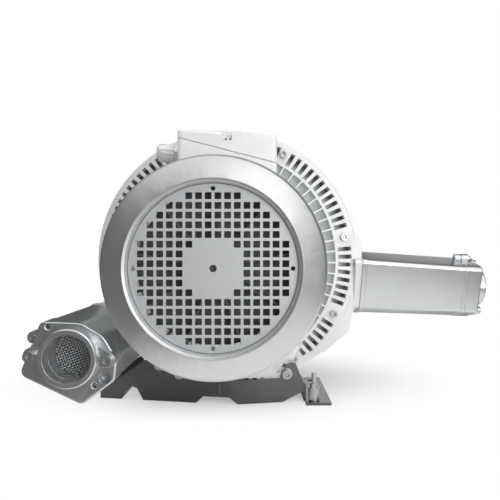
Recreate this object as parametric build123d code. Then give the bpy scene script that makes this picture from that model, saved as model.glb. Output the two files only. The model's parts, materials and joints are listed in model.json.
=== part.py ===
from build123d import *
import os
from math import cos, pi, radians, sin, tan

# Side channel blower, two stages on one motor shaft, with a silencer at each port.
# Millimetres, +Z up.  The origin is on the floor, at the centre of the foot bolt pattern.
# The shaft runs along Y: the motor's fan end is at -Y and the blower head at +Y.
#
# Everything but the silencers and the base is drawn in "machine" coordinates:
# x to the right, y downwards and z along the shaft, measured back from the cowl's rim.

# ---- where the machine stands ----
AXIS_HEIGHT = 250.0           # shaft above the floor
FOOT_CENTRE_X = -25.5         # foot bolt pattern centre, seen from the shaft
SEAT_GAP = 0.3                # air between neighbours that are not clamped
RUN_GAP = 0.05                # radial running fit of the shaft in its bores

# ---- fan cowl and grille ----
COWL_R = 130.0
COWL_LENGTH = 92.0
COWL_WALL = 1.5
COWL_BEAD_R = 101.0           # crest of the bead round the recessed grille
COWL_LIP_R = 93.6             # inner edge of the lip that the grille plate lies on
COWL_RISE = 12.0              # the bead stands this far ahead of the cowl's rim
GRILLE_R = 95.5
GRILLE_WALL = 1.5
GRILLE_RECESS = 9.0           # grille face behind the bead's crest
GRILLE_PITCH = 10.9
GRILLE_HOLE = 7.6
GRILLE_FIELD_R = 88.3         # hole centres lie inside this circle
GRILLE_HUB_R = 35.0           # and outside this one
GRILLE_FIXING_R = 90.0
GRILLE_FIXING_HOLE_R = 2.6
GRILLE_CENTRE_HOLE_R = 4.1

# ---- cooling fan ----
FAN_R = 96.0
FAN_HUB_R = 34.0
FAN_WIDTH = 30.0
FAN_START = 14.0
FAN_BLADES = 9
FAN_BLADE_WALL = 2.4
FAN_DISC_WALL = 2.5

# ---- motor ----
FRAME_BORE_R = 92.0
FRAME_WALL = 6.0
FRAME_RIB_TIP_R = 119.0
FRAME_RIB_WALL = 3.0
FRAME_RIBS = 40
FRAME_START = 62.0
FRAME_END = 262.0
CORE_BORE_R = 58.0
CORE_LENGTH = 84.0
CORE_END = FRAME_END - 22.0
CORE_START = CORE_END - CORE_LENGTH
AIR_GAP = 0.5
WINDING_REACH = 26.0
SHAFT_CORE_R = 20.0
SHAFT_BEARING_R = 17.5
SHAFT_FAN_R = 14.0
SHAFT_DRIVE_R = 16.0
BEARING_R = 36.0
BEARING_WIDTH = 17.0
BEARING_BALL_R = 5.5
BEARING_BALLS = 9

# ---- terminal box ----
BOX_LEFT = -56.0
BOX_RIGHT = 77.0
BOX_FRONT = 96.0
BOX_DEPTH = 112.0
BOX_WALL = 4.0
BOX_SEAT = 122.0              # box floor above the shaft
LID_SPLIT_LEFT = 169.0        # the lid's parting line falls from left to right
LID_SPLIT_RIGHT = 134.5
LID_TOP_LEFT = 180.5
LID_TOP_RIGHT = 172.4
BOX_GASKET = 0.8
BOX_CORNER = 6.0
LID_EDGE = 3.5
POCKET_DEPTH = 11.0           # lid screws sit in pockets at the lid's edge
POCKET_WIDTH = 12.4
POCKET_WALL = 7.0             # screw centre behind the box's face
GLAND_HEIGHT = 153.5
GLAND_DEPTH = 30.0            # gland centre behind the box's front wall
GLAND_NECK_R = 9.8
GLAND_CAP_R = 12.5
GLAND_CAP_LENGTH = 24.0
GLAND_CABLE_R = 5.5

# ---- blower head ----
HEAD_R = 226.5
HEAD_FRONT = FRAME_END + 38.0
HEAD_RIM = 3.5                # rounding of the fin ring's outer edge
HEAD_DEPTH = 62.0             # fin ring's face to the first joint
SLOT_OUTER_R = HEAD_R - 9.5
SLOT_INNER_R = SLOT_OUTER_R - 23.0
SLOTS = 96
SLOT_WIDTH = 7.2
SLOT_DEPTH_OUT = 32.0
SLOT_DEPTH_IN = 5.0
CELL_OUTER_R = SLOT_INNER_R - 5.0
CELL_INNER_R = CELL_OUTER_R - 49.0
CELLS = 60
NECK_ANGLE = 212.0            # where the left silencer's neck crosses the ring
CELL_RIB = 2.8                # wall between two cells
CELL_DEPTH_OUT = 14.0
CELL_DEPTH_IN = 24.0
CELL_COVE = ((0, 7), (2, 11), (6, 13))        # inward from the cell's outer wall, and depth
NECK_CLEAR = 3.0              # the neck passes the middle casing at this distance
IMPELLER_R = HEAD_R - 27.0
IMPELLER_WIDTH = 28.0
IMPELLER_GAP = 0.5
CHANNEL_R = IMPELLER_R - 21.5
CHANNEL_SECTION_R = 19.0
STAGE_PITCH = 82.0
STAGE_1_MID = HEAD_FRONT + HEAD_DEPTH
STAGE_2_MID = STAGE_1_MID + STAGE_PITCH
COVER_WALL = 17.0
COVER_RIB_HEIGHT = 24.0
COVER_RIBS = 40
CASING_BOLT_R = HEAD_R - 18.5
CASING_BOLT_ANGLES = (62.0, 11.0, -27.0, -56.0, -100.0, -128.0, 172.0, 110.0)
CASING_BOLT_HOLE_R = 4.3
CASING_BOLT_RADIUS = 4.0
NUT_SEAT = 24.0               # casing nuts sit this far behind the rear joint
HUB_R = 125.0
HUB_REACH = 24.0              # hub stands this far ahead of the fin ring
FLAT_ANGLE = -48.9            # the ring is cut flat at the lower right
FLAT_DISTANCE = HEAD_R - 7.9
SIDE_FLAT_X = 215.5           # and cut upright at the right, below the lifting lug
SIDE_FLAT = (-1.4, 80.0)
SIDE_LUG_X = 222.4
SIDE_LUG = (-48.0, -1.4)
SIDE_CUT_DEPTH = 34.0
BLADES = 40
BLADE_POCKET_IN = IMPELLER_R - 39.5
BLADE_WALL = 4.0

# ---- silencers ----
DUCT_R = 12.0
DUCT_LENGTH = {"left": 118.0, "right": 52.0}
SILENCER_LENGTH = 226.0       # mounting face to port face
SILENCER_WALL = 4.0
# cross sections about the port's axis: x, y and corner radius
PORT_END = ((-50, 18, 7), (-8, 38, 24), (22, 37, 24), (47, 22, 10), (56.5, -2, 8), (37, -44, 8), (-43, -47, 8))
WIDE_END = ((-56, 10, 9), (-8, 32, 24), (22, 32, 24), (48, 20, 10), (58, -3, 8), (39, -46, 8), (-48, -49, 8))
COVER_LENGTH = 24.0
COVER_OVERHANG = 1.0
FLANGE_LENGTH = 16.0
PORT_R = 27.5
PORT_RING_R = 34.2
LUG_SPAN = 88.0
LUG_TURN = {"left": 24.7, "right": -24.7}     # the flange fits either diagonal of the cover
LUG_R = 9.0
SCREEN_R = 31.0
TAPPING_X = 80.0
TAPPING_Y = 35.0
COVER_SCREWS = ((-53.0, -6.0), (46.0, -4.0))
MOUNT_SCREWS = ((-42.0, -2.0), (42.0, 6.0), (-36.0, -34.0), (28.0, -34.0))
LEFT_SILENCER = (-166.0, -102.9, HEAD_FRONT - 74.0)     # x, height over the shaft, depth of its mounting face
LEFT_TURN = 28.0
RIGHT_SILENCER = (234.5, -41.0, HEAD_FRONT + 49.0)
RIGHT_TURN = 8.0
RIGHT_DROOP = 2.5

# ---- base bracket ----
FOOT_CENTRE_DEPTH = HEAD_FRONT + 86.0    # foot bolt pattern centre, back from the cowl's rim
WEB_WALL = 4.0
FOLD_X = 10.0
FOLD_DEPTH = HEAD_FRONT - 11.0
FOLD_ANGLE = 9.0
PAD_REACH = 60.0              # pads run this far behind the foot pattern centre
PAD_WALL = 5.0
LEFT_PAD = (-231.0, -191.0)
RIGHT_PAD = (136.0, 180.0)
RIGHT_PAD_FRONT = HEAD_FRONT - 15.0
SIDE_WALL_TOP = 31.0          # wall between web and right pad, above the floor
SIDE_WALL_END = 14.0
TURNED_EDGE = ((-231.0, 237.0), (-150.0, 180.0))        # the web's upper left edge, folded back
TURNED_WIDTH = 14.0
BEAD_X = -15.0
BEAD_R = 3.5
BEAD_TOP = 214.0
BEAD_END = 232.0
FOOT_SPACING_X = 369.0
FOOT_SPACING_Y = 70.0
FOOT_HOLE_R = 5.5
BASE_BOLTS = ((104.0, -200.0), (-84.0, -200.0), (-120.0, -186.0))
BASE_BOLT_R = 5.0
BASE_BOSS_R = 12.0
BASE_BOLT_LENGTH = 27.0
LEVELLER_R = 4.0
# x, depth and height of the levelling studs, and height of their nuts over the pads
LEVELLERS = ((-202.0, HEAD_FRONT + 37.0, 28.0, 0.0), (151.0, HEAD_FRONT, 53.0, 23.0))
SEAL_R = HEAD_R - 11.0

NODES = {}


def machine(shape):
    """Machine coordinates to the model's frame."""
    place = Pos(-FOOT_CENTRE_X, -FOOT_CENTRE_DEPTH, AXIS_HEIGHT)
    return place * Rot(-90, 0, 0) * shape


def at(x, height, depth=0.0):
    """A place in machine coordinates, from a height over the shaft."""
    return Pos(x, -height, depth)


def turn(angle):
    """A turn about the shaft, counter-clockwise as seen from the fan end."""
    return Rot(0, 0, -angle)


def rod(radius, start, end):
    """A round bar on the shaft axis."""
    return Pos(0, 0, start) * extrude(Circle(radius), amount=end - start)


def ring(outer, inner, start, end):
    """A plain ring on the shaft axis."""
    return rod(outer, start, end) - rod(inner, start - 1, end + 1)


def spun(*points):
    """A closed outline of (radius, depth) points, turned about the shaft."""
    outline = make_face(Polyline(*[(r, 0, z) for r, z in points], close=True))
    return revolve(outline, Axis.Z, 360)


def around(count, shape, first=0.0, skip=()):
    """Copies of a shape spaced evenly about the shaft, less those near skipped angles."""
    copies = []
    for i in range(count):
        angle = first + 360.0 * i / count
        near = [abs((angle - s + 180) % 360 - 180) for s, _ in skip]
        if any(gap < half for gap, (_, half) in zip(near, skip)):
            continue
        copies.append(turn(angle) * shape)
    return copies


def keep(name, *solids):
    """Collect a named node from machine coordinates."""
    NODES[name] = [machine(s) for s in solids]


# ---------------------------------------------------------------- motor

def make_cowl():
    rear = COWL_LENGTH
    crest = -COWL_RISE
    seat = crest + GRILLE_RECESS + GRILLE_WALL
    outer = [(COWL_R, 6), (COWL_R - 3, 1), (COWL_BEAD_R + 5, crest + 2.5), (COWL_BEAD_R, crest),
             (COWL_BEAD_R - 3.5, crest + 1.5), (GRILLE_R + 0.6, seat - GRILLE_WALL - 0.4),
             (GRILLE_R + 0.4, seat), (COWL_LIP_R, seat)]
    inner = [(COWL_LIP_R, seat + COWL_WALL), (GRILLE_R + 2.2, seat + COWL_WALL),
             (COWL_BEAD_R - 2, crest + 3.8), (COWL_BEAD_R + 4, crest + 4.4),
             (COWL_R - 4, 2.8), (COWL_R - COWL_WALL, 7), (COWL_R - COWL_WALL, rear)]
    shell = spun((COWL_R, rear), *outer, *inner)
    screw_hole = Rot(0, 90, 0) * extrude(Circle(2.6), amount=COWL_R + 5)
    for hole in around(4, Pos(0, 0, rear - 10) * screw_hole, first=45):
        shell -= hole
    keep("fan_cowl", shell)


def make_grille():
    face = -COWL_RISE + GRILLE_RECESS
    plate = Circle(GRILLE_R)
    half = int(GRILLE_FIELD_R / GRILLE_PITCH) + 1
    places = []
    for i in range(-half, half):
        for j in range(-half, half):
            x = (i + 0.5) * GRILLE_PITCH
            y = (j + 0.5) * GRILLE_PITCH
            reach = (x * x + y * y) ** 0.5
            if GRILLE_HUB_R < reach < GRILLE_FIELD_R:
                places.append((x, y))
    plate -= [Pos(x, y) * Rectangle(GRILLE_HOLE, GRILLE_HOLE) for x, y in places]
    plate -= PolarLocations(GRILLE_FIXING_R, 4) * Circle(GRILLE_FIXING_HOLE_R)
    plate -= Circle(GRILLE_CENTRE_HOLE_R)
    keep("cowl_grille", Pos(0, 0, face) * extrude(plate, amount=GRILLE_WALL))


def make_cowl_screws():
    lug_top = COWL_R - COWL_WALL
    depth = COWL_LENGTH - 10
    head = Pos(COWL_R, 0, 0) * Rot(0, 90, 0) * (extrude(Circle(5), amount=3) - Pos(0, 0, 1.5)
                                              * extrude(Rectangle(1.2, 8), amount=3))
    shank = Rot(0, 90, 0) * Pos(0, 0, lug_top - 9) * extrude(Circle(2.5), amount=COWL_R - lug_top + 9)
    screws = around(4, Pos(0, 0, depth) * (head + shank), first=45)
    keep("cowl_screws", *screws)


def make_cooling_fan():
    back = FAN_START + FAN_WIDTH
    hub = ring(FAN_HUB_R, SHAFT_FAN_R + RUN_GAP, FAN_START + 2, back)
    hub = chamfer(hub.edges().filter_by(GeomType.CIRCLE).group_by(Axis.Z)[0].sort_by(SortBy.RADIUS)[-1:], 4)
    disc = ring(FAN_R, FAN_HUB_R - 2, back - FAN_DISC_WALL, back)
    reach = FAN_R - FAN_HUB_R + 3
    blade = Pos(FAN_HUB_R - 3 + reach / 2, 0, FAN_START + FAN_WIDTH / 2) * Box(
        reach, FAN_BLADE_WALL, FAN_WIDTH)
    fan = hub + disc
    fan += around(FAN_BLADES, blade, first=10)
    keep("cooling_fan", fan)
    keep("fan_clip", ring(SHAFT_FAN_R + 4, SHAFT_FAN_R, FAN_START + 0.4, FAN_START + 2))


def make_motor_frame():
    shell = ring(FRAME_BORE_R + FRAME_WALL, FRAME_BORE_R, FRAME_START, FRAME_END)
    root = FRAME_BORE_R + FRAME_WALL - 2
    rib_length = FRAME_END - FRAME_START - 16
    rib = Pos((root + FRAME_RIB_TIP_R) / 2, 0, FRAME_START + 8 + rib_length / 2) * Box(
        FRAME_RIB_TIP_R - root, FRAME_RIB_WALL, rib_length)
    ribs = around(FRAME_RIBS, rib, skip=((90, 30), (45, 5), (135, 5), (-45, 5), (-135, 5)))
    lug_depth = COWL_LENGTH - 10
    lug_tip = COWL_R - COWL_WALL - SEAT_GAP
    lug = Pos((root + lug_tip) / 2, 0, lug_depth) * Box(lug_tip - root, 14, 20)
    lug -= Pos(0, 0, lug_depth) * Rot(0, 90, 0) * extrude(Circle(2.6), amount=COWL_R)
    bolt_lug = Pos(FRAME_BORE_R + 13, 0, FRAME_END - 8) * Box(26, 20, 16)
    bolt_lug -= at(FRAME_BORE_R + 15, 0, FRAME_END - 17) * extrude(Circle(4.3), amount=20)
    seat_width = BOX_RIGHT - BOX_LEFT - 16
    seat_top = BOX_SEAT
    seat = at((BOX_LEFT + BOX_RIGHT) / 2, (root + seat_top) / 2 - 8, BOX_FRONT + BOX_DEPTH / 2) * Box(
        seat_width, seat_top - root + 16, BOX_DEPTH - 12)
    seat -= rod(FRAME_BORE_R + 1, FRAME_START, FRAME_END)
    wire_hole = at((BOX_LEFT + BOX_RIGHT) / 2, 60, BOX_FRONT + BOX_DEPTH / 2)
    wire_hole *= Rot(90, 0, 0) * extrude(Circle(16), amount=80)
    frame = shell + ribs
    frame += around(4, lug, first=45)
    frame += around(4, bolt_lug, first=45)
    frame += seat
    frame -= wire_hole
    keep("motor_frame", frame)


def make_end_shields():
    fan_side = FRAME_START
    plate = spun((FRAME_BORE_R + FRAME_WALL, fan_side), (FRAME_BORE_R - SEAT_GAP, fan_side),
                 (FRAME_BORE_R - SEAT_GAP, fan_side + 8), (BEARING_R + 8, fan_side + 14),
                 (BEARING_R + 8, fan_side + 22), (BEARING_R, fan_side + 22),
                 (BEARING_R, fan_side + 5), (SHAFT_BEARING_R + 3, fan_side + 5),
                 (SHAFT_BEARING_R + 3, fan_side - 4), (FRAME_BORE_R, fan_side - 4),
                 (FRAME_BORE_R + FRAME_WALL, fan_side - 2))
    keep("fan_end_shield", plate)
    drive = FRAME_END
    face = HEAD_FRONT - HUB_REACH
    shield = spun((FRAME_BORE_R + 22, drive), (FRAME_BORE_R - SEAT_GAP, drive),
                  (FRAME_BORE_R - SEAT_GAP, drive - 6), (FRAME_BORE_R - 6, drive - 6),
                  (FRAME_BORE_R - 8, drive + 1), (BEARING_R + 12, drive + 1),
                  (BEARING_R + 9, drive - 16), (BEARING_R, drive - 16), (BEARING_R, drive + 1),
                  (SHAFT_BEARING_R + 3, drive + 1), (SHAFT_BEARING_R + 3, face),
                  (FRAME_BORE_R + 22, face))
    hole = at(FRAME_BORE_R + 15, 0, drive - 1) * extrude(Circle(4.3), amount=face - drive + 2)
    for cut in around(4, hole, first=45):
        shield -= cut
    keep("drive_end_shield", shield)
    start = FRAME_END - 16
    length = HEAD_FRONT - HUB_REACH + 18 - start
    bolt = Pos(FRAME_BORE_R + 15, 0, 0) * (Pos(0, 0, start) * extrude(Circle(4), amount=length)
                                         + Pos(0, 0, start - 5) * extrude(RegularPolygon(7.5, 6), amount=5))
    keep("motor_bolts", *around(4, bolt, first=45))


def bearing_middles():
    """Depths of the two bearing centres."""
    fan_end = FRAME_START + 5 + BEARING_WIDTH / 2
    drive_end = FRAME_END + 1 - BEARING_WIDTH / 2
    return fan_end, drive_end


def make_bearings():
    outers, balls, inners = [], [], []
    pitch = (BEARING_R + SHAFT_BEARING_R) / 2
    for middle in bearing_middles():
        low = middle - BEARING_WIDTH / 2
        high = middle + BEARING_WIDTH / 2
        race = Pos(0, 0, middle) * Torus(pitch, BEARING_BALL_R + 0.15)
        outers.append(ring(BEARING_R, pitch + 3.5, low, high) - race)
        inners.append(ring(pitch - 3.5, SHAFT_BEARING_R, low, high) - race)
        ball = Pos(pitch, 0, middle) * Sphere(BEARING_BALL_R)
        balls += around(BEARING_BALLS, ball)
    keep("bearing_outer_rings", *outers)
    keep("bearing_balls", *balls)
    keep("bearing_inner_rings", *inners)


def make_windings():
    keep("stator_core", ring(FRAME_BORE_R, CORE_BORE_R, CORE_START, CORE_END))
    coils = []
    for near, far in ((CORE_START, CORE_START - WINDING_REACH), (CORE_END, CORE_END + WINDING_REACH - 9)):
        step = 4 if far > near else -4
        coils.append(spun((CORE_BORE_R + 5, near), (CORE_BORE_R + 5, far - step), (CORE_BORE_R + 9, far),
                          (FRAME_BORE_R - 11, far), (FRAME_BORE_R - 7, far - step), (FRAME_BORE_R - 7, near)))
    keep("stator_windings", *coils)


def make_rotor():
    fan_end, drive_end = bearing_middles()
    half = BEARING_WIDTH / 2
    shaft = rod(SHAFT_FAN_R, FAN_START - 2, fan_end - half)
    shaft += rod(SHAFT_BEARING_R, fan_end - half, CORE_START - 20)
    shaft += rod(SHAFT_CORE_R, CORE_START - 20, CORE_END)
    shaft += rod(SHAFT_BEARING_R, CORE_END, drive_end + half)
    nut_end = STAGE_2_MID + IMPELLER_WIDTH / 2 + 18
    shaft += rod(SHAFT_DRIVE_R, drive_end + half, nut_end)
    key_cut = at(0, SHAFT_DRIVE_R, (STAGE_1_MID + STAGE_2_MID) / 2) * Box(
        8, 8, STAGE_2_MID - STAGE_1_MID + IMPELLER_WIDTH)
    keep("motor_shaft", shaft - key_cut)
    keep("impeller_key", at(0, SHAFT_DRIVE_R - 0.5, (STAGE_1_MID + STAGE_2_MID) / 2) * Box(
        8, 7, STAGE_2_MID - STAGE_1_MID + IMPELLER_WIDTH - 2))
    keep("rotor_core", ring(CORE_BORE_R - AIR_GAP, SHAFT_CORE_R, CORE_START, CORE_END))


# ---------------------------------------------------------------- terminal box

def split_height(x, lift=0.0):
    """Height of the lid's parting line at x."""
    share = (x - BOX_LEFT) / (BOX_RIGHT - BOX_LEFT)
    return LID_SPLIT_LEFT + (LID_SPLIT_RIGHT - LID_SPLIT_LEFT) * share + lift


def under_split(lift):
    """Everything under the lid's parting line, raised by lift."""
    low = BOX_LEFT - 20
    high = BOX_RIGHT + 20
    outline = make_face(Polyline((low, -split_height(low, lift)), (high, -split_height(high, lift)),
                                 (high, 0), (low, 0), close=True))
    return Pos(0, 0, BOX_FRONT - 10) * extrude(outline, amount=BOX_DEPTH + 20)


def box_block(inset, bottom, drop=0.0):
    """The whole box as one block, from bottom up to its sloping top."""
    left = BOX_LEFT + inset
    right = BOX_RIGHT - inset
    outline = make_face(Polyline((left, -bottom), (left, drop - LID_TOP_LEFT), (right, drop - LID_TOP_RIGHT),
                                 (right, -bottom), close=True))
    return Pos(0, 0, BOX_FRONT + inset) * extrude(outline, amount=BOX_DEPTH - 2 * inset)


def make_terminal_box():
    middle = (BOX_LEFT + BOX_RIGHT) / 2
    top = (LID_TOP_LEFT + LID_TOP_RIGHT) / 2
    block = box_block(0, BOX_SEAT)
    block = fillet(block.edges().filter_by(Axis.Y), BOX_CORNER)
    block = fillet(block.faces().sort_by(Axis.Y)[0].edges(), LID_EDGE)
    hollow = box_block(BOX_WALL, BOX_SEAT + BOX_WALL, BOX_WALL)
    hollow = fillet(hollow.edges().filter_by(Axis.Y), BOX_CORNER - 1)
    columns = []
    pockets = []
    screws = []
    for wall, side in ((BOX_FRONT, 1), (BOX_FRONT + BOX_DEPTH, -1)):
        depth = wall + side * POCKET_WALL
        floor = top - POCKET_DEPTH
        columns.append(at(middle, (BOX_SEAT + 20 + floor) / 2, wall + side * (POCKET_WALL + 2)) * Box(
            14, floor - BOX_SEAT - 20, 14))
        pockets.append(at(middle, floor + 15, wall + side * (POCKET_WALL - 5)) * Box(POCKET_WIDTH, 30, 19))
        pockets.append(at(middle, BOX_SEAT + 16, depth) * Rot(90, 0, 0) * extrude(Circle(2.2), amount=100))
        head = at(middle, floor, depth) * Rot(90, 0, 0) * extrude(Circle(4.2), amount=3.2)
        head -= at(middle, floor + 3, depth) * Box(1.2, 3, 7)
        shank = at(middle, BOX_SEAT + 18, depth) * Rot(90, 0, 0) * extrude(
            Circle(2.2), amount=floor - BOX_SEAT - 18)
        screws.append(head + shank)
    shell = block - hollow + columns - pockets
    for wall, side in ((BOX_FRONT, 1), (BOX_FRONT + BOX_DEPTH, -1)):
        shroud = at(middle, top - POCKET_DEPTH / 2 - 2, wall + side * (POCKET_WALL + 4)) * Box(
            POCKET_WIDTH + 6, POCKET_DEPTH, 14)
        cut = at(middle, top - POCKET_DEPTH + 15, wall + side * (POCKET_WALL - 5)) * Box(POCKET_WIDTH, 30, 19)
        shell += (shroud - cut) & block
    shell -= [p for p in pockets]
    wire_hole = at(middle, BOX_SEAT - 5, BOX_FRONT + BOX_DEPTH / 2) * Rot(90, 0, 0) * extrude(
        Circle(16), amount=20)
    gland_hole = at(BOX_LEFT - 5, GLAND_HEIGHT, BOX_FRONT + GLAND_DEPTH) * Rot(0, 90, 0) * extrude(
        Circle(GLAND_NECK_R + 0.2), amount=BOX_WALL + 10)
    below = under_split(0)
    raised = under_split(BOX_GASKET)
    keep("terminal_box_base", (shell & below) - wire_hole - gland_hole)
    keep("lid_gasket", (shell & raised) - below)
    keep("terminal_box_lid", shell - raised)
    keep("lid_screws", *screws)


def make_terminal_block():
    middle = (BOX_LEFT + BOX_RIGHT) / 2 + 4
    depth = BOX_FRONT + BOX_DEPTH / 2 + 28
    floor = BOX_SEAT + BOX_WALL
    block = at(middle, floor + 7, depth) * Box(62, 14, 22)
    studs = []
    for i in (-1, 0, 1):
        for j in (-5.5, 5.5):
            x = middle + i * 19
            block -= at(x, floor + 2, depth + j) * Rot(90, 0, 0) * extrude(Circle(2.1), amount=30)
            stud = at(x, floor + 3, depth + j) * Rot(90, 0, 0) * extrude(Circle(2.0), amount=16)
            nut = at(x, floor + 14, depth + j) * Rot(90, 0, 0) * extrude(RegularPolygon(4, 6), amount=3)
            studs.append(stud + nut)
    keep("terminal_block", block)
    keep("terminal_studs", *studs)


def make_gland():
    place = at(BOX_LEFT, GLAND_HEIGHT, BOX_FRONT + GLAND_DEPTH) * Rot(0, -90, 0)
    cable = extrude(Circle(GLAND_CABLE_R + 3.2), amount=60, both=True)
    body = Pos(0, 0, -BOX_WALL - 6) * extrude(Circle(GLAND_NECK_R), amount=BOX_WALL + 6)
    body += extrude(RegularPolygon(13.4, 6), amount=7)
    body += Pos(0, 0, 7) * extrude(Circle(9.6), amount=11)
    keep("gland_body", place * (body - cable))
    nut = Pos(0, 0, -BOX_WALL - 5) * (extrude(RegularPolygon(14, 6), amount=5)
                                      - extrude(Circle(GLAND_NECK_R + 0.1), amount=20, both=True))
    keep("gland_lock_nut", place * nut)
    cap = Pos(0, 0, 7.3) * extrude(Circle(GLAND_CAP_R), amount=GLAND_CAP_LENGTH)
    cap = chamfer(cap.edges().group_by(Axis.Z)[-1], 3)
    cap -= Pos(0, 0, 7) * extrude(Circle(9.8), amount=11.6)
    cap -= extrude(Circle(GLAND_CABLE_R + 1.6), amount=60, both=True)
    for i in range(12):
        cap -= Rot(0, 0, 30 * i) * Pos(GLAND_CAP_R + 0.9, 0, 7) * extrude(Circle(1.6), amount=12)
    keep("gland_cap", place * cap)
    seal = Pos(0, 0, 4) * extrude(Circle(GLAND_CABLE_R + 3.1), amount=13.8)
    seal -= extrude(Circle(GLAND_CABLE_R), amount=60, both=True)
    keep("gland_seal", place * seal)


# ---------------------------------------------------------------- blower head

def polar(radius, angle):
    """x and height of a point about the shaft."""
    return radius * cos(radians(angle)), radius * sin(radians(angle))


def channel(face):
    """Round side channel, half of it on each side of an impeller's face at that depth."""
    section = Pos(CHANNEL_R, face) * Circle(CHANNEL_SECTION_R)
    return revolve(Plane.XZ * section, Axis.Z, 360)


def web_front(x):
    """Depth of the base web's front face at x."""
    return FOLD_DEPTH + abs(x - FOLD_X) * tan(radians(FOLD_ANGLE))


def web_seat_cut():
    """Room in the casing for the folded web, down to its back face."""
    back = WEB_WALL / cos(radians(FOLD_ANGLE))
    outline = make_face(Polyline((FOLD_X, web_front(FOLD_X) + back), (-170, web_front(-170) + back),
                                 (-170, 240), (170, 240), (170, web_front(170) + back), close=True))
    prism = extrude(Plane.XZ * Pos(0, 0) * outline, amount=-130)
    return Pos(0, 163, 0) * prism


def web_behind():
    """Everything behind the web's front face."""
    outline = make_face(Polyline((FOLD_X, web_front(FOLD_X)), (-300, web_front(-300)), (-300, 500), (300, 500),
                                 (300, web_front(300)), close=True))
    return Pos(0, 400, 0) * extrude(Plane.XZ * outline, amount=400)


def bulge():
    """Crossover duct that stands out of the motor side casing at the lower right."""
    outline = make_face(Polyline((-6, 140), (-6, 203), (20, 206), (72, 206.5), (91, 195), (113, 162),
                                 (126, 140), (84, 96), (20, 120), close=True))
    duct = Pos(0, 0, HEAD_FRONT - 52) * extrude(outline, amount=60)
    duct = fillet(duct.edges().filter_by(Axis.Z).group_by(Axis.Y)[-3:], 9)
    front = duct.faces().sort_by(Axis.Z)[0]
    return fillet(front.edges(), 8)


def cooling_cell():
    """Wedge-shaped cell in the fin ring, with a coved outer wall and a floor that falls inwards."""
    cove = [(CELL_OUTER_R - inward, HEAD_FRONT + depth) for inward, depth in CELL_COVE]
    profile = make_face(Polyline((CELL_INNER_R, HEAD_FRONT - 1), (CELL_OUTER_R, HEAD_FRONT - 1), *cove,
                                 (CELL_OUTER_R - 14, HEAD_FRONT + CELL_DEPTH_OUT),
                                 (CELL_INNER_R, HEAD_FRONT + CELL_DEPTH_IN), close=True))
    inner = (2 * pi * CELL_INNER_R / CELLS - CELL_RIB) / 2
    outer = (2 * pi * CELL_OUTER_R / CELLS - CELL_RIB) / 2
    wedge = make_face(Polyline((CELL_INNER_R, -inner), (CELL_OUTER_R, -outer), (CELL_OUTER_R, outer),
                               (CELL_INNER_R, inner), close=True))
    wedge = Pos(0, 0, HEAD_FRONT - 1) * extrude(wedge, amount=CELL_DEPTH_IN + 2)
    return wedge & extrude(Plane.XZ * profile, amount=2 * outer, both=True)


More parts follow.
